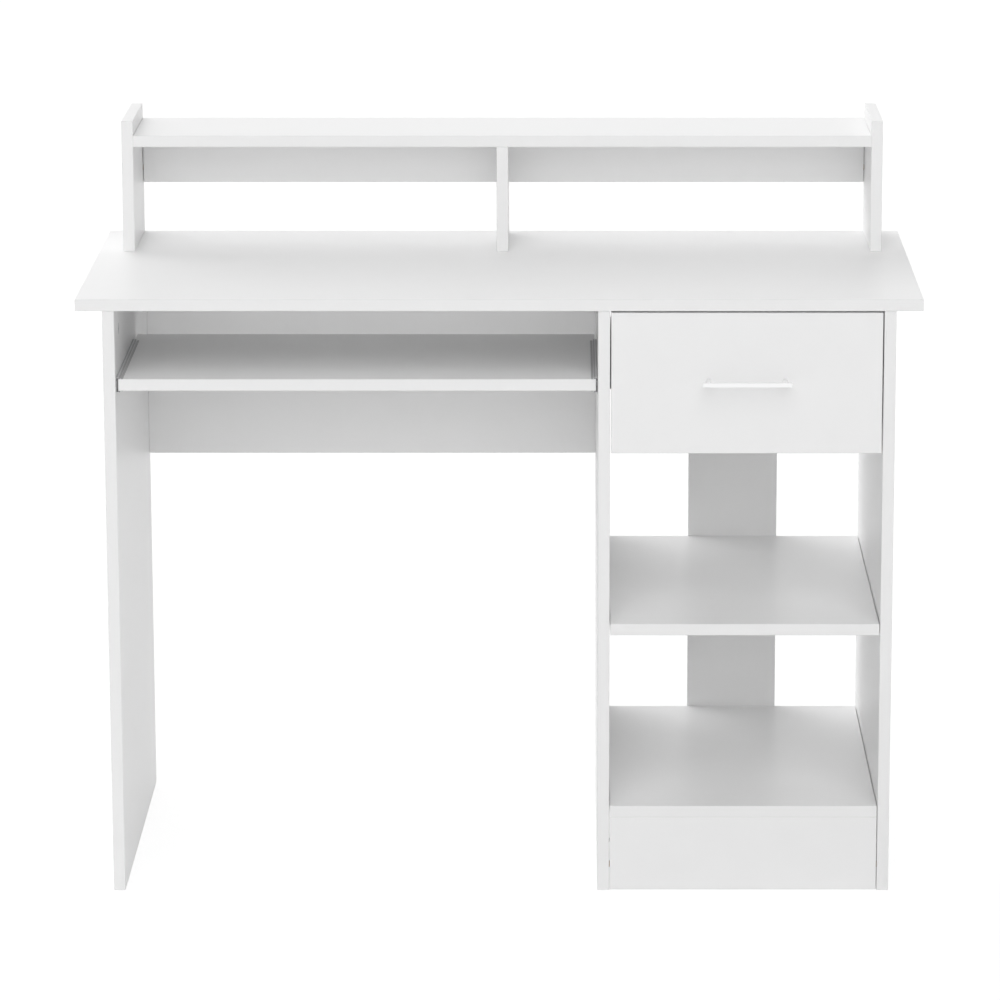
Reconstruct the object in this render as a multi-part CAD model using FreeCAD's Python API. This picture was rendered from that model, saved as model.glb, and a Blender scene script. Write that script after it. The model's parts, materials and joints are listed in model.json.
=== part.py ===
import FreeCAD
import Part
import os
from FreeCAD import Vector

# Computer desk of coated board with a low hutch, a sliding keyboard tray and a drawer.
# Millimetres. X runs to the right, Y away from the user, Z up from the floor.
# The origin lies on the floor, in the middle of the whole desk's outline, handle included.

# Boards
board = 15.0
edge_break = 0.6
end_gap = 0.8
overrun = 5.0

# Desktop and legs
desk_width = 1060.0
desk_depth = 500.0
desk_height = 771.0
side_overhang = 33.5
leg_setback = 2.0
cabinet_width = 343.0
modesty_height = 288.0

# Cabinet below the drawer
middle_shelf_top = 352.5
plinth_height = 96.5
plinth_floor_gap = 1.0
strip_width = 120.0

# Hutch on the desktop
hutch_side_step = 1.5
hutch_depth = 160.0
hutch_height = 173.0
hutch_lip = 19.5
hutch_rail_height = 70.0

# Fittings: cam lock, its bolt, dowel
fitting_inset = 60.0
hutch_fitting_inset = 35.0
fitting_pitch = 32.0
fitting_play = 0.15
cam_diameter = 15.0
cam_floor = 2.6
cam_reach = 34.0
cam_slot_width = 1.8
cam_slot_length = 9.0
cam_slot_depth = 2.0
bolt_thread_diameter = 6.0
bolt_shank_diameter = 5.0
bolt_head_diameter = 6.8
bolt_head_length = 4.5
bolt_tip = 1.5
bolt_floor = 4.0
dowel_diameter = 8.0
dowel_floor = 5.0
dowel_length = 30.0
dowel_end_room = 0.5

# Countersunk assembly screw
screw_diameter = 5.0
screw_head_diameter = 9.0
screw_head_height = 3.0
screw_length = 50.0
screw_spread = 70.0
recess_width = 0.9
recess_depth = 1.2
recess_span_share = 0.6

# Small pan-head screw of rails and runners
pin_diameter = 3.0
pin_length = 11.0
pin_head_diameter = 4.4
pin_head_height = 0.8
pin_recess_depth = 0.4

# Keyboard tray and its rails
tray_setback = 12.0
tray_drop = 89.0
tray_depth = 295.0
rail_steel = 0.8
rail_flange = 5.0
channel_steel = 0.6
channel_flange = 6.6
slide_lift = 0.5
slide_side_gap = 1.2
slide_play = 0.1
glide_length = 24.0
glide_height = 3.0
tray_stop_room = 2.0
tray_travel = 196.0
rail_rear_room = 4.0
rail_pin_offset = 3.0
rail_pin_inset = 45.0
rail_tab = 1.0

# Drawer
drawer_side_gap = 1.5
drawer_top_gap = 2.4
drawer_front_height = 179.8
drawer_box_rise = 16.0
drawer_box_drop = 43.0
drawer_rear_room = 68.0
drawer_bottom_thickness = 3.0
drawer_groove_depth = 5.0
drawer_groove_rise = 10.0
drawer_groove_play = 0.2
drawer_hold = 73.0
nail_diameter = 2.0
nail_head_diameter = 5.0
nail_head_height = 1.0
nail_length = 16.0
nail_inset = 40.0

# Drawer runners
runner_gap = 12.5
runner_steel = 1.0
runner_height = 17.0
runner_track = 9.5
runner_cover = 7.0
runner_front_room = 3.0
runner_rise = 3.0
runner_web_rise = 2.0
runner_lip = 3.0
runner_cover_gap = 0.5
roller_width = 6.5
roller_clear = 0.3
roller_side_room = 1.0
roller_inset = 12.0
roller_bore_play = 0.08
rivet_diameter = 4.0
rivet_head_diameter = 7.0
rivet_head_height = 0.8
rivet_end_play = 0.3
stop_length = 4.0
stop_height = 3.0
stop_room = 0.5
runner_pin_inset = 70.0

# Handle
handle_spacing = 96.0
handle_end = 8.0
handle_height = 5.5
handle_bar_depth = 6.0
handle_reach = 22.0
handle_rise = 3.0
handle_round = 0.8
post_diameter = 6.0
handle_bolt_diameter = 4.0
handle_bolt_depth = 12.0
handle_bolt_head_diameter = 8.0
handle_bolt_head_height = 2.4
handle_bolt_play = 0.2

X = Vector(1, 0, 0)
Y = Vector(0, 1, 0)
Z = Vector(0, 0, 1)

# Planes that the pieces share
drawer_front_setback = leg_setback
handle_overhang = handle_reach + handle_bar_depth - drawer_front_setback
back_y = (desk_depth + handle_overhang) / 2
front_y = back_y - desk_depth
leg_y = front_y + leg_setback
under_top = desk_height - board
frame_half = desk_width / 2 - side_overhang
left_x = -frame_half + board
right_x = frame_half - board
cabinet_x = right_x - cabinet_width
bay_x = cabinet_x - board
strip_y = back_y - board
strip_mid_x = (cabinet_x + right_x) / 2
bottom_shelf_low = plinth_floor_gap + plinth_height
bottom_shelf_top = bottom_shelf_low + board
hutch_y = back_y - hutch_depth
hutch_half = frame_half + hutch_side_step
hutch_top = desk_height + hutch_height
hutch_shelf_top = hutch_top - hutch_lip
hutch_shelf_low = hutch_shelf_top - board
hutch_rail_low = hutch_shelf_low - hutch_rail_height
modesty_low = under_top - modesty_height

# Keyboard tray planes
tray_y = front_y + tray_setback
tray_back_y = tray_y + tray_depth
tray_top = under_top - tray_drop
tray_low = tray_top - board
rail_length = tray_travel + 2 * glide_length + tray_stop_room + rail_rear_room
tray_end = rail_steel + slide_side_gap + channel_steel

# Drawer planes
drawer_y = front_y + drawer_front_setback
drawer_box_y = drawer_y + board
drawer_back_y = strip_y - drawer_rear_room
drawer_top = under_top - drawer_top_gap
drawer_low = drawer_top - drawer_front_height
box_low = drawer_low + drawer_box_rise
box_top = drawer_top - drawer_box_drop
box_left = cabinet_x + runner_gap
box_right = right_x - runner_gap
bottom_low = box_low + drawer_groove_rise
bottom_top = bottom_low + drawer_bottom_thickness
handle_z = (drawer_low + drawer_top) / 2 + handle_rise

# Runner planes
runner_low = (box_low + box_top) / 2 + runner_rise
runner_y = drawer_box_y + runner_front_room
flange_high = runner_height - runner_steel - runner_cover_gap
flange_low = flange_high - runner_steel
roller_radius = (flange_low - runner_steel) / 2 - roller_clear
roller_z = runner_low + (flange_low + runner_steel) / 2
front_roller_y = runner_y + roller_inset
rear_roller_y = drawer_back_y - roller_inset
drawer_travel = rear_roller_y - front_roller_y - drawer_hold
runner_back_y = rear_roller_y + roller_radius + stop_room + runner_steel
runner_web = runner_gap - runner_steel


def span(low, high):
    """Plain block between two corners."""
    size = high - low
    return Part.makeBox(size.x, size.y, size.z, low)


def rod(radius, start, along, length):
    return Part.makeCylinder(radius, length, start, along)


def placed(shape, origin, x_way, z_way):
    """Copy of a shape with its own x and z turned to the given ways."""
    turn = FreeCAD.Rotation(x_way, z_way.cross(x_way), z_way, "ZXY")
    copy = shape.copy()
    copy.Placement = FreeCAD.Placement(origin, turn)
    return copy


def across(way):
    """A direction square to the given one."""
    if abs(way.z) > abs(way.x):
        return X
    return Z


# Boards, each as its two corners
boards = {
    "desktop": (Vector(-desk_width / 2, front_y, under_top), Vector(desk_width / 2, back_y, desk_height)),
    "left_side_panel": (Vector(-frame_half, leg_y, 0), Vector(left_x, back_y, under_top)),
    "partition_panel": (Vector(bay_x, leg_y, 0), Vector(cabinet_x, back_y, under_top)),
    "right_side_panel": (Vector(right_x, leg_y, 0), Vector(frame_half, back_y, under_top)),
    "modesty_panel": (Vector(left_x, strip_y, modesty_low), Vector(bay_x, back_y, under_top)),
    "middle_shelf": (
        Vector(cabinet_x + end_gap, leg_y, middle_shelf_top - board),
        Vector(right_x - end_gap, strip_y, middle_shelf_top),
    ),
    "bottom_shelf": (
        Vector(cabinet_x + end_gap, leg_y, bottom_shelf_low),
        Vector(right_x - end_gap, strip_y, bottom_shelf_top),
    ),
    "plinth_board": (
        Vector(cabinet_x + end_gap, leg_y, plinth_floor_gap),
        Vector(right_x - end_gap, leg_y + board, bottom_shelf_low),
    ),
    "back_strip": (
        Vector(strip_mid_x - strip_width / 2, strip_y, bottom_shelf_low),
        Vector(strip_mid_x + strip_width / 2, back_y, under_top),
    ),
    "hutch_left_side": (
        Vector(-hutch_half, hutch_y, desk_height),
        Vector(-hutch_half + board, back_y, hutch_top),
    ),
    "hutch_right_side": (
        Vector(hutch_half - board, hutch_y, desk_height),
        Vector(hutch_half, back_y, hutch_top),
    ),
    "hutch_divider": (Vector(-board / 2, hutch_y, desk_height), Vector(board / 2, strip_y, hutch_shelf_low)),
    "hutch_shelf": (
        Vector(-hutch_half + board, hutch_y, hutch_shelf_low),
        Vector(hutch_half - board, back_y, hutch_shelf_top),
    ),
    "hutch_back_rail": (
        Vector(-hutch_half + board + end_gap, strip_y, hutch_rail_low),
        Vector(hutch_half - board - end_gap, back_y, hutch_shelf_low),
    ),
    "keyboard_tray": (
        Vector(left_x + tray_end, tray_y, tray_low),
        Vector(bay_x - tray_end, tray_back_y, tray_top),
    ),
    "drawer_front": (
        Vector(cabinet_x + drawer_side_gap, drawer_y, drawer_low),
        Vector(right_x - drawer_side_gap, drawer_box_y, drawer_top),
    ),
    "drawer_left_side": (
        Vector(box_left, drawer_box_y, box_low),
        Vector(box_left + board, drawer_back_y, box_top),
    ),
    "drawer_right_side": (
        Vector(box_right - board, drawer_box_y, box_low),
        Vector(box_right, drawer_back_y, box_top),
    ),
    "drawer_back": (
        Vector(box_left + board, drawer_back_y - board, bottom_top),
        Vector(box_right - board, drawer_back_y, box_top),
    ),
}
cuts = {name: [] for name in boards}
fittings = {}


def add(node, *solids):
    fittings.setdefault(node, []).extend(solids)


def cross_recess(head_diameter, depth):
    """Two crossed slots in a head whose flat top is at zero and whose body lies along +z."""
    reach = head_diameter * recess_span_share / 2
    one = Part.makeBox(2 * reach, recess_width, depth + overrun, Vector(-reach, -recess_width / 2, -overrun))
    two = Part.makeBox(recess_width, 2 * reach, depth + overrun, Vector(-recess_width / 2, -reach, -overrun))
    return one.fuse(two)


def cam_lock_shape():
    """Lock disc: its face at zero, its body along +z, the bolt coming in from -x."""
    height = board - cam_floor - fitting_play
    disc = rod(cam_diameter / 2, Vector(0, 0, 0), Z, height)
    socket_radius = bolt_head_diameter / 2 + fitting_play
    inlet = rod(socket_radius, Vector(bolt_tip + fitting_play, 0, board / 2), -X, cam_diameter)
    half = cam_slot_length / 2
    slot_low = Vector(-half, -cam_slot_width / 2, -overrun)
    one = Part.makeBox(cam_slot_length, cam_slot_width, cam_slot_depth + overrun, slot_low)
    cross_low = Vector(-cam_slot_width / 2, -half, -overrun)
    two = Part.makeBox(cam_slot_width, cam_slot_length, cam_slot_depth + overrun, cross_low)
    return disc.cut([inlet, one, two])


def cam_bolt_shape():
    """Bolt: thread along -z in the face board, shank and head along +z in the end board."""
    thread = rod(bolt_thread_diameter / 2, Vector(0, 0, bolt_floor - board), Z, board - bolt_floor)
    head_start = cam_reach + bolt_tip - bolt_head_length
    shank = rod(bolt_shank_diameter / 2, Vector(0, 0, 0), Z, head_start)
    head = rod(bolt_head_diameter / 2, Vector(0, 0, head_start), Z, bolt_head_length)
    return thread.fuse([shank, head])


def dowel_shape():
    dowel = rod(dowel_diameter / 2, Vector(0, 0, dowel_floor + dowel_end_room - board), Z, dowel_length)
    return dowel.makeChamfer(edge_break, [dowel.Edges[0], dowel.Edges[2]])


def sunk_screw_shape(length):
    """Countersunk screw with its head's face at zero and its point along +z."""
    head = Part.makeCone(screw_head_diameter / 2, screw_diameter / 2, screw_head_height)
    shank = rod(screw_diameter / 2, Vector(0, 0, 0), Z, length)
    return head.fuse(shank).cut(cross_recess(screw_head_diameter, recess_depth))


def sunk_screw_hole(length):
    radius = screw_diameter / 2 + fitting_play
    sink = Part.makeCone(screw_head_diameter / 2 + fitting_play, radius, screw_head_height)
    mouth = rod(screw_head_diameter / 2 + fitting_play, Vector(0, 0, -overrun), Z, overrun)
    return sink.fuse([mouth, rod(radius, Vector(0, 0, 0), Z, length + fitting_play)])


def shank_hole(diameter, length):
    """Hole for a plain shank that starts at zero and runs along +z."""
    start = Vector(0, 0, -overrun)
    return rod(diameter / 2 + fitting_play, start, Z, length + fitting_play + overrun)


def pin_shape():
    """Pan-head screw: the head's seat at zero, the head along -z, the shank along +z."""
    head = rod(pin_head_diameter / 2, Vector(0, 0, -pin_head_height), Z, pin_head_height)
    recess = cross_recess(pin_head_diameter, pin_recess_depth)
    recess.translate(Vector(0, 0, -pin_head_height))
    return head.fuse(rod(pin_diameter / 2, Vector(0, 0, 0), Z, pin_length)).cut(recess)


CAM_LOCK = cam_lock_shape()
CAM_BOLT = cam_bolt_shape()
DOWEL = dowel_shape()
SCREW = sunk_screw_shape(screw_length)
SCREW_HOLE = sunk_screw_hole(screw_length)
PIN = pin_shape()
PIN_HOLE = shank_hole(pin_diameter, pin_length)


def cam_joint(end_board, face_board, spot, into, out, prefix):
    """Bolt in a board's face at spot, drawn up by a lock in the board that ends there."""
    thread_radius = bolt_thread_diameter / 2 + fitting_play
    thread_depth = board - bolt_floor + fitting_play
    cuts[face_board].append(rod(thread_radius, spot + into * overrun, -into, thread_depth + overrun))
    bore_radius = bolt_head_diameter / 2 + fitting_play
    bore_depth = cam_reach + bolt_tip + fitting_play
    cuts[end_board].append(rod(bore_radius, spot - into * overrun, into, bore_depth + overrun))
    face = spot + into * cam_reach + out * (board / 2)
    pocket = rod(cam_diameter / 2 + fitting_play, face + out * overrun, -out, board - cam_floor + overrun)
    cuts[end_board].append(pocket)
    add(prefix + "cam_locks", placed(CAM_LOCK, face, into, -out))
    add(prefix + "cam_bolts", placed(CAM_BOLT, spot, across(into), into))


def dowel_joint(end_board, face_board, spot, into, node):
    radius = dowel_diameter / 2 + fitting_play
    cuts[face_board].append(rod(radius, spot + into * overrun, -into, board - dowel_floor + overrun))
    in_end = dowel_length - (board - dowel_floor) + 2 * dowel_end_room
    cuts[end_board].append(rod(radius, spot - into * overrun, into, in_end + overrun))
    add(node, placed(DOWEL, spot, across(into), into))


def end_middle(name, into):
    """Middle of the end face of a board from which the given way runs into it."""
    low, high = boards[name]
    size = high - low
    half = abs(size.dot(into)) / 2
    return (low + high) / 2 - into * half


def join(end_board, face_board, into, out, along, cams, dowels, prefix="", dowel_node="wood_dowels"):
    """Cams and dowels between a board's end and a face, at places along the end."""
    middle = end_middle(end_board, into)
    touch = boards[face_board]
    gap = min(abs((touch[0] - middle).dot(into)), abs((touch[1] - middle).dot(into)))
    seat = middle - into * gap
    for place in cams:
        cam_joint(end_board, face_board, seat + along * place, into, out, prefix)
    for place in dowels:
        dowel_joint(end_board, face_board, seat + along * place, into, dowel_node)


def pair(length, inset):
    """Two places either side of the middle of a length, a set distance from its ends."""
    half = length / 2 - inset
    return [-half, half]


def sunk_screw(node, head_board, end_board, spot, into, way):
    hole = placed(SCREW_HOLE, spot, way, into)
    cuts[head_board].append(hole)
    cuts[end_board].append(hole)
    add(node, placed(SCREW, spot, way, into))


def pan_screw(node, target, spot, into):
    """Small screw through thin steel at spot into a board."""
    cuts[target].append(placed(PIN_HOLE, spot, across(into), into))
    add(node, placed(PIN, spot, across(into), into))


def join_frame():
    """Fittings between the legs, the desktop, the modesty panel and the cabinet boards."""
    leg_depth = back_y - leg_y
    cams = pair(leg_depth, fitting_inset)
    dowels = [cams[0] + fitting_pitch, 0]
    join("left_side_panel", "desktop", -Z, X, Y, cams, dowels)
    join("partition_panel", "desktop", -Z, X, Y, cams, dowels)
    join("right_side_panel", "desktop", -Z, -X, Y, cams, dowels)
    cams = pair(modesty_height, fitting_inset)
    dowels = pair(modesty_height, fitting_inset + fitting_pitch)
    join("modesty_panel", "left_side_panel", X, Y, Z, cams, dowels)
    join("modesty_panel", "partition_panel", -X, Y, Z, cams, dowels)
    join("modesty_panel", "desktop", -Z, Y, X, [], pair(bay_x - left_x, fitting_inset + cam_reach))
    shelf_depth = strip_y - leg_y
    cams = pair(shelf_depth, fitting_inset)
    dowels = pair(shelf_depth, fitting_inset + fitting_pitch)
    for shelf in ("middle_shelf", "bottom_shelf"):
        join(shelf, "partition_panel", X, -Z, Y, cams, dowels)
        join(shelf, "right_side_panel", -X, -Z, Y, cams, dowels)
    half_pitch = fitting_pitch / 2
    join("plinth_board", "partition_panel", X, Y, Z, [half_pitch], [-half_pitch])
    join("plinth_board", "right_side_panel", -X, Y, Z, [half_pitch], [-half_pitch])
    join("plinth_board", "bottom_shelf", -Z, Y, X, [], pair(cabinet_width, fitting_inset + cam_reach))
    join("back_strip", "desktop", -Z, Y, X, [], [-half_pitch, half_pitch])
    for shelf in ("middle_shelf", "bottom_shelf"):
        height = end_middle(shelf, X).z
        for side in (-screw_spread / 2, screw_spread / 2):
            spot = Vector(strip_mid_x + side, back_y, height)
            sunk_screw("assembly_screws", "back_strip", shelf, spot, -Y, X)


def join_hutch():
    """Fittings of the hutch, and the screws that come up through the desktop into it."""
    cams = pair(hutch_depth, hutch_fitting_inset)
    join("hutch_shelf", "hutch_left_side", X, -Z, Y, cams, [0])
    join("hutch_shelf", "hutch_right_side", -X, -Z, Y, cams, [0])
    half_pitch = fitting_pitch / 2
    join("hutch_back_rail", "hutch_left_side", X, Y, Z, [half_pitch], [-half_pitch])
    join("hutch_back_rail", "hutch_right_side", -X, Y, Z, [half_pitch], [-half_pitch])
    divider_depth = strip_y - hutch_y
    dowels = pair(divider_depth, hutch_fitting_inset + half_pitch)
    join("hutch_divider", "hutch_shelf", -Z, X, Y, [], dowels)
    for side in ("hutch_left_side", "hutch_divider", "hutch_right_side"):
        low, high = boards[side]
        middle = (low + high) / 2
        for place in pair(high.y - low.y, hutch_fitting_inset):
            spot = Vector(middle.x, middle.y + place, under_top)
            sunk_screw("assembly_screws", "desktop", side, spot, Z, X)
    rail_middle_z = (hutch_rail_low + hutch_shelf_low) / 2
    for place in (-half_pitch, half_pitch):
        spot = Vector(0, back_y, rail_middle_z + place)
        sunk_screw("assembly_screws", "hutch_back_rail", "hutch_divider", spot, -Y, X)


def wall_span(wall_x, inward, near, far, low_y, high_y, low_z, high_z):
    """Block beside a panel's face: near and far are measured from that face."""
    a = wall_x + inward * near
    b = wall_x + inward * far
    return span(Vector(min(a, b), low_y, low_z), Vector(max(a, b), high_y, high_z))


def pin_places(start, length, inset):
    return [start + inset, start + length / 2, start + length - inset]


def corner_glide(wall_x, inward, near, far, side_near, side_far, start, outer_z, thick, up):
    """Nylon strip of L section along the upper (up = 1) or lower (up = -1) corner of a rail."""
    end = start + glide_length
    low_z, high_z = sorted((outer_z, outer_z - up * thick))
    flat = wall_span(wall_x, inward, near, far, start, end, low_z, high_z)
    low_z, high_z = sorted((outer_z, outer_z - up * glide_height))
    side = wall_span(wall_x, inward, side_near, side_far, start, end, low_z, high_z)
    return flat.fuse(side).removeSplitter()


def tray_slide(panel, side, wall_x, inward):
    """Rail on a panel, channel on the tray's end, their glides and screws."""
    rail_low = tray_low - channel_steel - slide_lift - rail_steel
    rail_high = tray_top + channel_steel + slide_lift + rail_steel
    rail_end = tray_y + rail_length
    web = wall_span(wall_x, inward, 0, rail_steel, tray_y, rail_end, rail_low, rail_high)
    top = wall_span(wall_x, inward, 0, rail_flange, tray_y, rail_end, rail_high - rail_steel, rail_high)
    low = wall_span(wall_x, inward, 0, rail_flange, tray_y, rail_end, rail_low, rail_low + rail_steel)
    tab = wall_span(
        wall_x, inward, 0, rail_steel + slide_side_gap, rail_end - rail_tab, rail_end, rail_low, rail_high
    )
    rail = web.fuse([top, low, tab]).removeSplitter()
    near = rail_steel + slide_side_gap
    far = tray_end + channel_flange - channel_steel
    channel_end = rail_end - rail_tab - slide_play
    c_low = tray_low - channel_steel
    c_high = tray_top + channel_steel
    c_web = wall_span(wall_x, inward, near, tray_end, tray_y, channel_end, c_low, c_high)
    c_top = wall_span(wall_x, inward, near, far, tray_y, channel_end, tray_top, c_high)
    c_foot = wall_span(wall_x, inward, near, far, tray_y, channel_end, c_low, tray_low)
    channel = c_web.fuse([c_top, c_foot]).removeSplitter()
    middle_z = (tray_low + tray_top) / 2
    for place in pin_places(tray_y, rail_length, rail_pin_inset):
        spot = Vector(wall_x + inward * rail_steel, place, middle_z + rail_pin_offset)
        rail = rail.cut(placed(PIN_HOLE, spot, Z, -X * inward))
        pan_screw("tray_rail_screws", panel, spot, -X * inward)
        spot = Vector(wall_x + inward * near, place, middle_z - rail_pin_offset)
        channel = channel.cut(placed(PIN_HOLE, spot, Z, X * inward))
        pan_screw("tray_channel_screws", "keyboard_tray", spot, X * inward)
    add("tray_rail_" + side, rail)
    add("tray_channel_" + side, channel)
    thick = slide_lift - slide_play
    for up, rail_z, channel_z in ((1, rail_high - rail_steel, c_high), (-1, rail_low + rail_steel, c_low)):
        fixed = corner_glide(
            wall_x, inward, rail_steel, rail_flange, rail_steel, near - slide_play, tray_y, rail_z, thick, up
        )
        add("tray_rail_glides", fixed)
        start = tray_y + glide_length + tray_stop_room + tray_travel
        moving = corner_glide(
            wall_x, inward, rail_steel + slide_play, rail_flange, rail_steel + slide_play, near,
            start, channel_z + up * thick, thick, up
        )
        add("tray_channel_glides", moving)


def roller(x_start, centre_y):
    """Nylon roller on an X axis, with a running fit on its rivet."""
    start = Vector(x_start, centre_y, roller_z)
    wheel = rod(roller_radius, start, X, roller_width)
    wheel = wheel.makeChamfer(edge_break, [wheel.Edges[0], wheel.Edges[2]])
    bore_radius = rivet_diameter / 2 + roller_bore_play
    return wheel.cut(rod(bore_radius, start - X * overrun, X, roller_width + 2 * overrun))


def rivet(seat_x, way, length, centre_y):
    """Rivet from a web's face outwards, its head past the roller, its foot through the web."""
    start = Vector(seat_x, centre_y, roller_z)
    shaft = rod(rivet_diameter / 2, start - way * runner_steel, way, length + runner_steel)
    head = rod(rivet_head_diameter / 2, start + way * length, way, rivet_head_height)
    return shaft.fuse(head)


def rivet_hole(seat_x, centre_y):
    start = Vector(seat_x - overrun, centre_y, roller_z)
    return rod(rivet_diameter / 2 + fitting_play, start, X, 2 * overrun)


def cabinet_runner(panel, side, wall_x, inward):
    """Runner on a panel: track below, cover above, a roller at the front and stops."""
    high = runner_low + runner_height
    track_high = runner_low + runner_steel
    web = wall_span(wall_x, inward, 0, runner_steel, runner_y, runner_back_y, runner_low, high)
    track = wall_span(wall_x, inward, 0, runner_track, runner_y, runner_back_y, runner_low, track_high)
    cover = wall_span(wall_x, inward, 0, runner_cover, runner_y, runner_back_y, high - runner_steel, high)
    back_tab = wall_span(
        wall_x, inward, 0, runner_track, runner_back_y - runner_steel, runner_back_y,
        runner_low, runner_low + flange_low - roller_clear
    )
    stop_y = rear_roller_y - drawer_travel - roller_radius - stop_room
    stop = wall_span(
        wall_x, inward, runner_lip, runner_track, stop_y - stop_length, stop_y,
        runner_low, track_high + stop_height
    )
    body = web.fuse([track, cover, back_tab, stop]).removeSplitter()
    seat_x = wall_x + inward * runner_steel
    body = body.cut(rivet_hole(seat_x, front_roller_y))
    for place in (runner_y + runner_pin_inset, runner_back_y - runner_pin_inset):
        spot = Vector(seat_x, place, roller_z)
        body = body.cut(placed(PIN_HOLE, spot, Z, -X * inward))
        pan_screw("runner_screws", panel, spot, -X * inward)
    add("runner_" + side, body)
    near = seat_x + inward * roller_side_room
    add("runner_roller_" + side, roller(min(near, near + inward * roller_width), front_roller_y))
    length = roller_side_room + roller_width + rivet_end_play
    add("runner_rivets", rivet(seat_x, X * inward, length, front_roller_y))


def drawer_runner(board_name, side, wall_x, inward):
    """Runner on a drawer side: web, top flange that rides the roller, rear roller."""
    low = runner_low + runner_web_rise
    web = wall_span(
        wall_x, inward, runner_web, runner_gap, runner_y, drawer_back_y, low, runner_low + flange_high
    )
    flange = wall_span(
        wall_x, inward, runner_lip, runner_gap, runner_y, drawer_back_y,
        runner_low + flange_low, runner_low + flange_high
    )
    body = web.fuse(flange).removeSplitter()
    seat_x = wall_x + inward * runner_web
    body = body.cut(rivet_hole(seat_x, rear_roller_y))
    for place in (runner_y + runner_pin_inset, rear_roller_y - runner_pin_inset):
        spot = Vector(seat_x, place, roller_z)
        body = body.cut(placed(PIN_HOLE, spot, Z, X * inward))
        pan_screw("drawer_runner_screws", board_name, spot, X * inward)
    add("drawer_runner_" + side, body)
    near = seat_x - inward * roller_side_room
    add("drawer_roller_" + side, roller(min(near, near - inward * roller_width), rear_roller_y))
    length = roller_side_room + roller_width + rivet_end_play
    add("drawer_runner_rivets", rivet(seat_x, -X * inward, length, rear_roller_y))


def drawer_box():
    """Grooves, bottom and fittings of the drawer."""
    low = Vector(
        box_left + board - drawer_groove_depth, drawer_box_y - drawer_groove_depth, bottom_low
    )
    high = Vector(box_right - board + drawer_groove_depth, drawer_back_y, bottom_top)
    play = Vector(drawer_groove_play, drawer_groove_play, drawer_groove_play)
    groove = span(low - play, high + play + Y * overrun)
    for name in ("drawer_left_side", "drawer_right_side", "drawer_front"):
        cuts[name].append(groove)
    bottom = span(low, high)
    half_pitch = fitting_pitch / 2
    cam_args = ([half_pitch], [-half_pitch], "drawer_", "drawer_dowels")
    join("drawer_left_side", "drawer_front", Y, X, Z, *cam_args)
    join("drawer_right_side", "drawer_front", Y, -X, Z, *cam_args)
    back_low, back_high = boards["drawer_back"]
    middle = (back_low + back_high) / 2
    for name, x, into in (("drawer_left_side", box_left, X), ("drawer_right_side", box_right, -X)):
        for place in (-half_pitch, half_pitch):
            spot = Vector(x, middle.y, middle.z + place)
            sunk_screw("drawer_screws", name, "drawer_back", spot, into, Z)
    head = rod(nail_head_diameter / 2, Vector(0, 0, -nail_head_height), Z, nail_head_height)
    nail = head.fuse(rod(nail_diameter / 2, Vector(0, 0, 0), Z, nail_length))
    hole = shank_hole(nail_diameter, nail_length)
    for place in pair(back_high.x - back_low.x, nail_inset) + [0]:
        spot = Vector(middle.x + place, middle.y, bottom_low)
        cuts["drawer_back"].append(placed(hole, spot, X, Z))
        bottom = bottom.cut(placed(hole, spot, X, Z))
        add("drawer_bottom_nails", placed(nail, spot, X, Z))
    add("drawer_bottom", bottom)


def handle():
    """Slim bar on two posts, each held by a screw through the drawer front."""
    bar_length = handle_spacing + 2 * handle_end
    bar_back = drawer_y - handle_reach
    low = Vector(strip_mid_x - bar_length / 2, bar_back - handle_bar_depth, handle_z - handle_height / 2)
    bar = span(low, low + Vector(bar_length, handle_bar_depth, handle_height))
    add("handle_bar", bar.makeFillet(handle_round, bar.Edges))
    for side in (-handle_spacing / 2, handle_spacing / 2):
        seat = Vector(strip_mid_x + side, drawer_y, handle_z)
        post = rod(post_diameter / 2, seat, -Y, handle_reach)
        thread = handle_bolt_diameter / 2
        bore = rod(thread + fitting_play, seat + Y * overrun, -Y, handle_bolt_depth + fitting_play + overrun)
        add("handle_posts", post.cut(bore))
        inside = Vector(strip_mid_x + side, drawer_box_y, handle_z)
        shank = rod(thread, inside, -Y, board + handle_bolt_depth)
        head = rod(handle_bolt_head_diameter / 2, inside, Y, handle_bolt_head_height)
        slots = cross_recess(handle_bolt_head_diameter, recess_depth)
        recess = placed(slots, inside + Y * handle_bolt_head_height, X, -Y)
        add("handle_screws", head.fuse(shank).cut(recess))
        hole = rod(thread + handle_bolt_play, inside + Y * overrun, -Y, board + 2 * overrun)
        cuts["drawer_front"].append(hole)


def board_shape(name):
    low, high = boards[name]
    plain = span(low, high)
    shape = plain.makeChamfer(edge_break, plain.Edges)
    if cuts[name]:
        shape = shape.cut(cuts[name])
    return shape


def build():
    join_frame()
    join_hutch()
    tray_slide("left_side_panel", "left", left_x, 1)
    tray_slide("partition_panel", "right", bay_x, -1)
    cabinet_runner("partition_panel", "left", cabinet_x, 1)
    cabinet_runner("right_side_panel", "right", right_x, -1)
    drawer_runner("drawer_left_side", "left", cabinet_x, 1)
    drawer_runner("drawer_right_side", "right", right_x, -1)
    drawer_box()
    handle()
    nodes = {name: board_shape(name) for name in boards}
    for name, solids in fittings.items():
        nodes[name] = solids[0] if len(solids) == 1 else Part.makeCompound(solids)
    os.makedirs("parts", exist_ok=True)
    for name, shape in nodes.items():
        shape.exportStep("parts/" + name + ".step")
        print(name, len(shape.Solids), "solids", round(shape.Volume))


build()
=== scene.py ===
import json
import math

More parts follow.
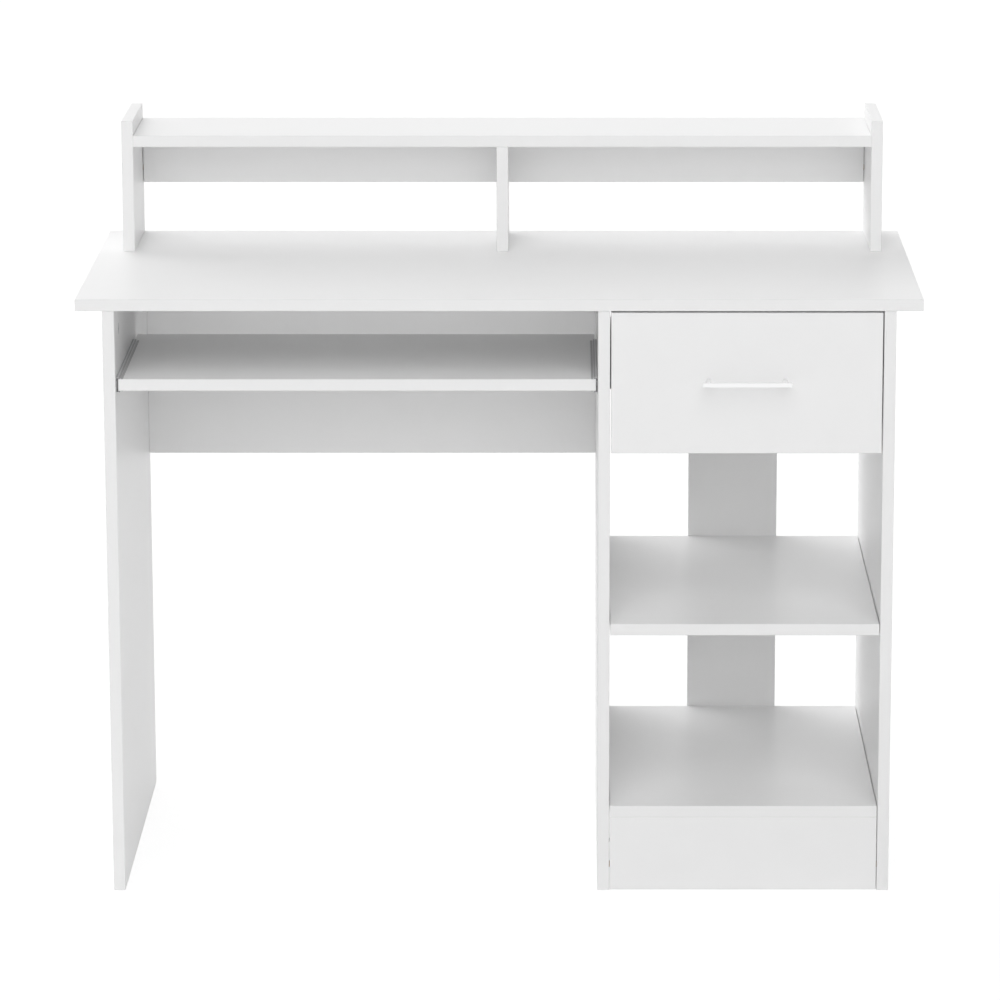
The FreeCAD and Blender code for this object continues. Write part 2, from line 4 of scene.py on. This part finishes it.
import bpy
from mathutils import Euler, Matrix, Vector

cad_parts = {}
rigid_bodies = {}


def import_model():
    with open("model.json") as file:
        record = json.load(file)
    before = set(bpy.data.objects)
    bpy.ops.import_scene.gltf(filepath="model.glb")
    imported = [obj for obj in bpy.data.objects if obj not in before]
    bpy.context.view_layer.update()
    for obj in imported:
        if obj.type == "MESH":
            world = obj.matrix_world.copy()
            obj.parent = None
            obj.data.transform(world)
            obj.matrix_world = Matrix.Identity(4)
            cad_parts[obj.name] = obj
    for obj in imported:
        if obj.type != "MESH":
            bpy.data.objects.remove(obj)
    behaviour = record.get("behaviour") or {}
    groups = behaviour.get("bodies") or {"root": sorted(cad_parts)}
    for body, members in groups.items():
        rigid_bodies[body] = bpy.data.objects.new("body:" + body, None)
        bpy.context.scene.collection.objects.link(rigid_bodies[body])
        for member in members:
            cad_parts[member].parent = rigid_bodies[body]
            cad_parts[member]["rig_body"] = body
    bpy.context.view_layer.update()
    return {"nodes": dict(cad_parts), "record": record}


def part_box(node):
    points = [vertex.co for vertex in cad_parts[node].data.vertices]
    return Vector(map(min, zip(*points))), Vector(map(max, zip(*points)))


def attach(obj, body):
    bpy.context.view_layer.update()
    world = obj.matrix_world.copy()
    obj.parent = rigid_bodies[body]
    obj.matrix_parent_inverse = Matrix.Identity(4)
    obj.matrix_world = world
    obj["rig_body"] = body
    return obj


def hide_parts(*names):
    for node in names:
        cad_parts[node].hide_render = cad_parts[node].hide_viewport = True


# White computer desk: coated boards, grey slides, zinc fittings and a light metal handle.
# Metres, in the frame of the solids.

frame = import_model()
nodes = frame["nodes"]
slot_of = {row["node"]: row["material_slot"] for row in frame["record"]["subparts"]}


def grey(level, blue=0.0):
    """A neutral colour, or one with a little more or less blue in it."""
    return (level, level, level + blue, 1.0)


# Camera
CAMERA_PLACE = (0.0792, -6.3307, 1.9188)
CAMERA_PITCH = math.radians(12.98)
IMAGE_SIZE = 1000
FOCAL_PIXELS = 4965.3
SENSOR_WIDTH = 36.0
SHIFT_X = -0.0627
SEEN_DISTANCE = 1000.0

# Soft lights: name, bearing from the front towards the right, height, strength, angle across
# Bearing, height and angle are in degrees.
SOFT_LIGHTS = [
    ("light_front", 0, 32, 1.38, 60),
    ("light_front_low", 0, 6, 0.14, 40),
    ("light_above", 0, 88, 0.52, 70),
    ("light_right", 90, 25, 0.36, 60),
    ("light_back", 200, 18, 0.62, 50),
    ("light_back_left", 222, 30, 1.40, 60),
    ("light_back_left_low", 230, 8, 0.35, 40),
]
AMBIENT = 0.12

# Floor
FLOOR_SIZE = 400.0
FLOOR_BOUNCE = 0.9
FLOOR_GLOW = 0.87
FLOOR_SHADOW_SHARE = 0.22

# Boards
BOARD_WHITE = grey(0.93)
BAND_WHITE = grey(0.92)
SEAM_GREY = grey(0.72, -0.01)
SEAM_STRENGTH = 0.6
CHIP_DARK = (0.30, 0.20, 0.115, 1.0)
CHIP_PALE = (0.62, 0.47, 0.30, 1.0)
BOARD_ROUGHNESS = 0.32
BAND_SMOOTHNESS = 0.02
CORE_ROUGHNESS = 0.4
EDGE_BREAK = 0.0006
SEAM_WIDTH = 0.00012
FACE_SKIN = 0.0003
CORE_DEPTH = 0.0008

# Other finishes: the two shades that each one mixes
FIBRE_SHADES = (0.16, 0.085, 0.04, 1.0), (0.36, 0.22, 0.12, 1.0)
PAINT_SHADES = grey(0.84), grey(0.90)
BEECH_SHADES = (0.50, 0.33, 0.19, 1.0), (0.80, 0.62, 0.42, 1.0)
STEEL_SHADES = grey(0.52, 0.005), grey(0.74, 0.01)
NYLON_SHADES = grey(0.74, -0.04), grey(0.86, -0.03)
BLACK_SHADES = grey(0.012, 0.001), grey(0.026, 0.002)
CASTING_SHADES = (0.66, 0.665, 0.67, 1.0), grey(0.82, 0.005)
ZINC_SHADES = (0.62, 0.64, 0.68, 1.0), grey(0.80, -0.03)
HANDLE_SHADES = grey(0.90, 0.005), grey(0.96, 0.005)

# Wear of the slides, and the width of a painted highlight line along their middle
PAINTED_HIGHLIGHT_WIDTH = 0.0009
RUBBED_FROM = 0.58
RUBBED_TO = 0.72

# Rounding of the metal and plastic pieces: node, radius
ROUNDED_PIECES = {
    "handle_posts": 0.0004, "tray_rail_glides": 0.0003, "tray_channel_glides": 0.0003,
    "runner_roller_left": 0.0004, "runner_roller_right": 0.0004,
    "drawer_roller_left": 0.0004, "drawer_roller_right": 0.0004,
}
ROUNDING_STEPS = 2
MERGE_DISTANCE = 1e-6
FLAT_ANGLE = math.radians(0.5)
CORNER_ANGLE = math.radians(40)

# Colour sockets of the Mix node, which has sockets of the same name for numbers and vectors
MIX_SHARE = 0
MIX_FIRST = 6
MIX_SECOND = 7
MIX_RESULT = 2


class Tone:
    """A shader socket; a sum written with it adds its own Math node."""

    def __init__(self, finish, socket):
        self.finish = finish
        self.socket = socket

    def math(self, operation, *values):
        return self.finish.node("ShaderNodeMath", {"operation": operation}, dict(enumerate(values)))

    def __add__(self, other):
        return self.math("ADD", self, other)

    def __sub__(self, other):
        return self.math("SUBTRACT", self, other)

    def __rsub__(self, other):
        return self.math("SUBTRACT", other, self)

    def __mul__(self, other):
        return self.math("MULTIPLY", self, other)

    def __abs__(self):
        return self.math("ABSOLUTE", self)

    def least(self, other):
        return self.math("MINIMUM", self, other)

    def most(self, other):
        return self.math("MAXIMUM", self, other)

    def above(self, level):
        return self.math("GREATER_THAN", self, level)

    __radd__ = __add__
    __rmul__ = __mul__


class Finish:
    """The nodes of a material or of the world, under construction."""

    def __init__(self, owner):
        owner.use_nodes = True
        self.owner = owner
        self.tree = owner.node_tree
        self.tree.nodes.clear()

    def node(self, kind, settings=None, inputs=None, output=0):
        """Adds a node, sets it up, joins its sockets and gives back one output."""
        made = self.tree.nodes.new(kind)
        for key, value in (settings or {}).items():
            setattr(made, key, value)
        for key, value in (inputs or {}).items():
            if isinstance(value, Tone):
                self.tree.links.new(value.socket, made.inputs[key])
            else:
                made.inputs[key].default_value = value
        return Tone(self, made.outputs[output]) if made.outputs else None

    def places(self):
        return self.node("ShaderNodeTexCoord", output="Object")

    def axes(self, point):
        return [self.node("ShaderNodeSeparateXYZ", inputs={"Vector": point}, output=i) for i in range(3)]

    def stretch(self, point, scale):
        return self.node("ShaderNodeMapping", inputs={"Vector": point, "Scale": scale})

    def noise(self, point, scale=1.0, detail=2.0, rough=0.5):
        inputs = {"Vector": point, "Scale": scale, "Detail": detail, "Roughness": rough}
        return self.node("ShaderNodeTexNoise", inputs=inputs)

    def fade(self, value, low, high):
        """Smooth step from 0 at low to 1 at high."""
        inputs = {"Value": value, "From Min": low, "From Max": high}
        return self.node("ShaderNodeMapRange", {"interpolation_type": "SMOOTHSTEP"}, inputs)

    def mix(self, share, first, second):
        inputs = {MIX_SHARE: share, MIX_FIRST: first, MIX_SECOND: second}
        return self.node("ShaderNodeMix", {"data_type": "RGBA"}, inputs, MIX_RESULT)

    def tinted(self, colour, level):
        """The colour times a level that changes over the surface."""
        shade = self.node("ShaderNodeCombineColor", inputs={0: level, 1: level, 2: level})
        return self.node("ShaderNodeVectorMath", {"operation": "MULTIPLY"}, {0: colour, 1: shade})

    def bump(self, height, strength, distance):
        inputs = {"Height": height, "Strength": strength, "Distance": distance}
        return self.node("ShaderNodeBump", inputs=inputs)

    def surface(self, **inputs):
        """Closes the material with one shader; words in names join with spaces."""
        named = {key.replace("_", " "): value for key, value in inputs.items()}
        return self.close(self.node("ShaderNodeBsdfPrincipled", inputs=named))

    def close(self, shader):
        self.node("ShaderNodeOutputMaterial", inputs={"Surface": shader})
        return self.owner


def new_finish(name):
    return Finish(bpy.data.materials.new(name))


def coated_board(name):
    """White coated chipboard with banded edges, worked out from the board's own box."""
    finish = new_finish("coated_" + name)
    low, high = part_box(name)
    point = finish.places()
    near = []
    for place, least, most in zip(finish.axes(point), low, high):
        near.append((most - least) / 2 - abs(place - (most + least) / 2))
    size = high - low
    thin = min(range(3), key=lambda axis: size[axis])
    depth = near[0].least(near[1]).least(near[2])
    edge = near[0].least(near[1]).most(near[0].most(near[1]).least(near[2]))
    band = near[thin].above(FACE_SKIN)
    core = depth.above(CORE_DEPTH)
    seam = 1.0 - finish.fade(abs(edge - EDGE_BREAK), 0.0, SEAM_WIDTH)
    grain = finish.noise(point, scale=1300.0, detail=1.0, rough=0.6)
    cloud = finish.noise(point, scale=22.0, detail=1.0, rough=0.55)
    speck = finish.noise(point, scale=420.0, detail=1.0, rough=0.6)
    face = finish.mix(band, BOARD_WHITE, BAND_WHITE)
    face = finish.mix(seam * SEAM_STRENGTH, face, SEAM_GREY)
    face = finish.tinted(face, 0.985 + 0.018 * cloud + 0.012 * speck)
    chips = finish.mix(finish.fade(speck, 0.35, 0.65), CHIP_DARK, CHIP_PALE)
    uneven = 0.05 * cloud + 0.04 * grain
    return finish.surface(
        Base_Color=finish.mix(core, face, chips),
        Roughness=BOARD_ROUGHNESS + uneven - BAND_SMOOTHNESS * band + CORE_ROUGHNESS * core,
        Specular_IOR_Level=0.5,
        Normal=finish.bump(grain, strength=0.10, distance=0.00012),
    )


def hardboard():
    """Thin fibre board, painted white on both faces."""
    finish = new_finish("hardboard")
    low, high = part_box("drawer_bottom")
    point = finish.places()
    up = finish.axes(point)[2]
    fibre = finish.noise(point, scale=260.0, detail=4.0, rough=0.65)
    cloud = finish.noise(point, scale=30.0)
    middle = (low.z + high.z) / 2
    painted = abs(up - middle).above((high.z - low.z) / 2 - FACE_SKIN)
    return finish.surface(
        Base_Color=finish.mix(painted, finish.mix(fibre, *FIBRE_SHADES), finish.mix(cloud, *PAINT_SHADES)),
        Roughness=0.72 - 0.2 * painted + 0.1 * cloud,
        Normal=finish.bump(fibre, strength=0.15, distance=0.0003),
    )


def beech():
    """Turned wood of the dowels."""
    finish = new_finish("beech")
    point = finish.places()
    grain = finish.noise(point, scale=900.0, detail=3.0, rough=0.6)
    ring = finish.noise(point, scale=160.0)
    return finish.surface(
        Base_Color=finish.mix(0.6 * ring + 0.4 * grain, *BEECH_SHADES),
        Roughness=0.55 + 0.2 * grain,
        Normal=finish.bump(grain, strength=0.2, distance=0.0002),
    )


def slide_steel(name):
    """Grey coated sheet steel with rubbed scuffs, and a painted highlight line along the middle."""
    finish = new_finish("steel_" + name)
    low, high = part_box(name)
    point = finish.places()
    across = finish.axes(point)[0]
    pitted = finish.noise(point, scale=1600.0, rough=0.6)
    rubbed = finish.noise(finish.stretch(point, (900.0, 14.0, 900.0)), detail=3.0, rough=0.6)
    # Painted highlight: a thin pale line along the middle of the flange, joined with the real rubbed wear
    # below
    painted_highlight = 1.0 - finish.fade(abs(across - (low.x + high.x) / 2), PAINTED_HIGHLIGHT_WIDTH / 2, PAINTED_HIGHLIGHT_WIDTH)
    wear_and_highlight = (0.5 * finish.fade(rubbed, RUBBED_FROM, RUBBED_TO)).most(painted_highlight)
    return finish.surface(
        Base_Color=finish.mix(wear_and_highlight, *STEEL_SHADES),
        Roughness=0.46 + 0.12 * pitted - 0.1 * wear_and_highlight,
        Metallic=0.2 + 0.2 * wear_and_highlight,
        Normal=finish.bump(pitted, strength=0.12, distance=0.0001),
    )


def nylon():
    """Pale plastic of the rollers."""
    finish = new_finish("nylon")
    point = finish.places()
    cloud = finish.noise(point, scale=140.0)
    grain = finish.noise(point, scale=2200.0)
    return finish.surface(
        Base_Color=finish.mix(cloud, *NYLON_SHADES),
        Roughness=0.36 + 0.16 * grain,
        Normal=finish.bump(grain, strength=0.08, distance=0.0001),
    )


def black_plastic():
    """Plastic of the tray's glides."""
    finish = new_finish("black_plastic")
    point = finish.places()
    grain = finish.noise(point, scale=2400.0, detail=1.0)
    cloud = finish.noise(point, scale=90.0, detail=1.0)
    return finish.surface(
        Base_Color=finish.mix(cloud, *BLACK_SHADES),
        Roughness=0.38 + 0.2 * grain,
        Normal=finish.bump(grain, strength=0.1, distance=0.0001),
    )


def zinc_casting():
    """Cast zinc of the cam locks."""
    finish = new_finish("zinc_casting")
    point = finish.places()
    skin = finish.noise(point, scale=900.0, detail=4.0, rough=0.6)
    cloud = finish.noise(point, scale=180.0)
    return finish.surface(
        Base_Color=finish.mix(cloud, *CASTING_SHADES),
        Metallic=0.7,
        Roughness=0.42 + 0.2 * skin,
        Normal=finish.bump(skin, strength=0.2, distance=0.0002),
    )


def zinc_steel():
    """Zinc-plated steel of screws, bolts and rivets."""
    finish = new_finish("zinc_steel")
    point = finish.places()
    cloud = finish.noise(point, scale=320.0)
    skin = finish.noise(point, scale=1800.0)
    return finish.surface(
        Base_Color=finish.mix(cloud, *ZINC_SHADES),
        Metallic=1.0,
        Roughness=0.24 + 0.16 * skin,
        Normal=finish.bump(skin, strength=0.1, distance=0.0001),
    )


def handle_metal():
    """Satin light metal, brushed along the bar."""
    finish = new_finish("handle_metal")
    point = finish.places()
    brushed = finish.noise(finish.stretch(point, (30.0, 2600.0, 2600.0)), detail=3.0, rough=0.6)
    cloud = finish.noise(point, scale=60.0)
    return finish.surface(
        Base_Color=finish.mix(brushed, *HANDLE_SHADES),
        Metallic=1.0,
        Roughness=0.24 + 0.12 * brushed + 0.05 * cloud,
        Normal=finish.bump(brushed, strength=0.08, distance=0.0001),
    )


def dress():
    """Gives every solid its finish."""
    shared = {
        "hardboard": hardboard(), "beech": beech(), "nylon": nylon(), "black_plastic": black_plastic(),
        "zinc_casting": zinc_casting(), "zinc_steel": zinc_steel(), "handle_metal": handle_metal(),
    }
    own = {"white_board": coated_board, "slide_steel": slide_steel}
    for name, piece in nodes.items():
        slot = slot_of[name]
        finish = own[slot](name) if slot in own else shared[slot]
        for held in piece.material_slots:
            held.material = finish


def round_corners(name, radius):
    """Shows a copy of the piece with its sharp corners rounded."""
    solid = nodes[name]
    bpy.ops.object.select_all(action="DESELECT")
    piece = bpy.data.objects.new(name + "_rounded", solid.data.copy())
    bpy.context.scene.collection.objects.link(piece)
    piece.select_set(True)
    bpy.context.view_layer.objects.active = piece
    bpy.ops.object.mode_set(mode="EDIT")
    bpy.ops.mesh.select_all(action="SELECT")
    bpy.ops.mesh.remove_doubles(threshold=MERGE_DISTANCE)
    bpy.ops.mesh.dissolve_limited(angle_limit=FLAT_ANGLE)
    bpy.ops.object.mode_set(mode="OBJECT")
    rounding = piece.modifiers.new("rounding", "BEVEL")
    rounding.width = radius
    rounding.segments = ROUNDING_STEPS
    rounding.limit_method = "ANGLE"
    rounding.angle_limit = CORNER_ANGLE
    bpy.ops.object.modifier_apply(modifier="rounding")
    bpy.ops.object.shade_smooth_by_angle(angle=CORNER_ANGLE)
    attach(piece, solid["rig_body"])
    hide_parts(name)


def seen_rays(finish):
    """1 for rays from the camera, from shine and through glass, else 0."""
    rays = [
        finish.node("ShaderNodeLightPath", output=kind)
        for kind in ("Is Camera Ray", "Is Glossy Ray", "Is Transmission Ray")
    ]
    return rays[0].most(rays[1]).most(rays[2])


def lay_floor():
    """Pale floor that shows white with the desk's soft shadow."""
    bpy.ops.object.select_all(action="DESELECT")
    bpy.ops.mesh.primitive_plane_add(size=FLOOR_SIZE, location=(0, 0, 0))
    floor = bpy.context.object
    floor.name = "studio_floor"
    finish = new_finish("pale_floor")
    bounce = finish.node("ShaderNodeBsdfDiffuse", inputs={"Color": grey(FLOOR_BOUNCE)})
    shadow = finish.node("ShaderNodeBsdfDiffuse", inputs={"Color": grey(FLOOR_SHADOW_SHARE)})
    glow = finish.node("ShaderNodeEmission", inputs={"Color": grey(1.0), "Strength": FLOOR_GLOW})
    shown = finish.node("ShaderNodeAddShader", inputs={0: shadow, 1: glow})
    both = finish.node("ShaderNodeMixShader", inputs={0: seen_rays(finish), 1: bounce, 2: shown})
    floor.data.materials.append(finish.close(both))


def surround():
    """Surroundings that show white and light the desk only a little."""
    world = bpy.data.worlds.new("white_studio")
    bpy.context.scene.world = world
    finish = Finish(world)
    dim = finish.node("ShaderNodeBackground", inputs={"Color": grey(1.0), "Strength": AMBIENT})
    white = finish.node("ShaderNodeBackground", inputs={"Color": grey(1.0), "Strength": 1.0})
    both = finish.node("ShaderNodeMixShader", inputs={0: seen_rays(finish), 1: dim, 2: white})
    finish.node("ShaderNodeOutputWorld", inputs={"Surface": both})


def hang_lights():
    """Wide soft lights, which shine shows as the white surroundings."""
    for name, bearing, height, strength, angle in SOFT_LIGHTS:
        lamp = bpy.data.lights.new(name, "SUN")
        lamp.energy = strength
        lamp.angle = math.radians(angle)
        holder = bpy.data.objects.new(name, lamp)
        holder.rotation_euler = Euler((math.radians(90 - height), 0.0, math.radians(bearing)))
        holder.visible_glossy = False
        bpy.context.scene.collection.objects.link(holder)


def set_camera():
    """Camera at the photograph's viewing angle."""
    lens = bpy.data.cameras.new("photo_camera")
    lens.sensor_width = SENSOR_WIDTH
    lens.lens = FOCAL_PIXELS * SENSOR_WIDTH / IMAGE_SIZE
    lens.shift_x = SHIFT_X
    lens.clip_end = SEEN_DISTANCE
    holder = bpy.data.objects.new("photo_camera", lens)
    holder.location = CAMERA_PLACE
    holder.rotation_euler = Euler((math.pi / 2 - CAMERA_PITCH, 0.0, 0.0))
    bpy.context.scene.collection.objects.link(holder)
    bpy.context.scene.camera = holder


set_camera()
dress()
for name, radius in ROUNDED_PIECES.items():
    round_corners(name, radius)
lay_floor()
surround()
hang_lights()
bpy.context.scene.view_settings.view_transform = "Standard"
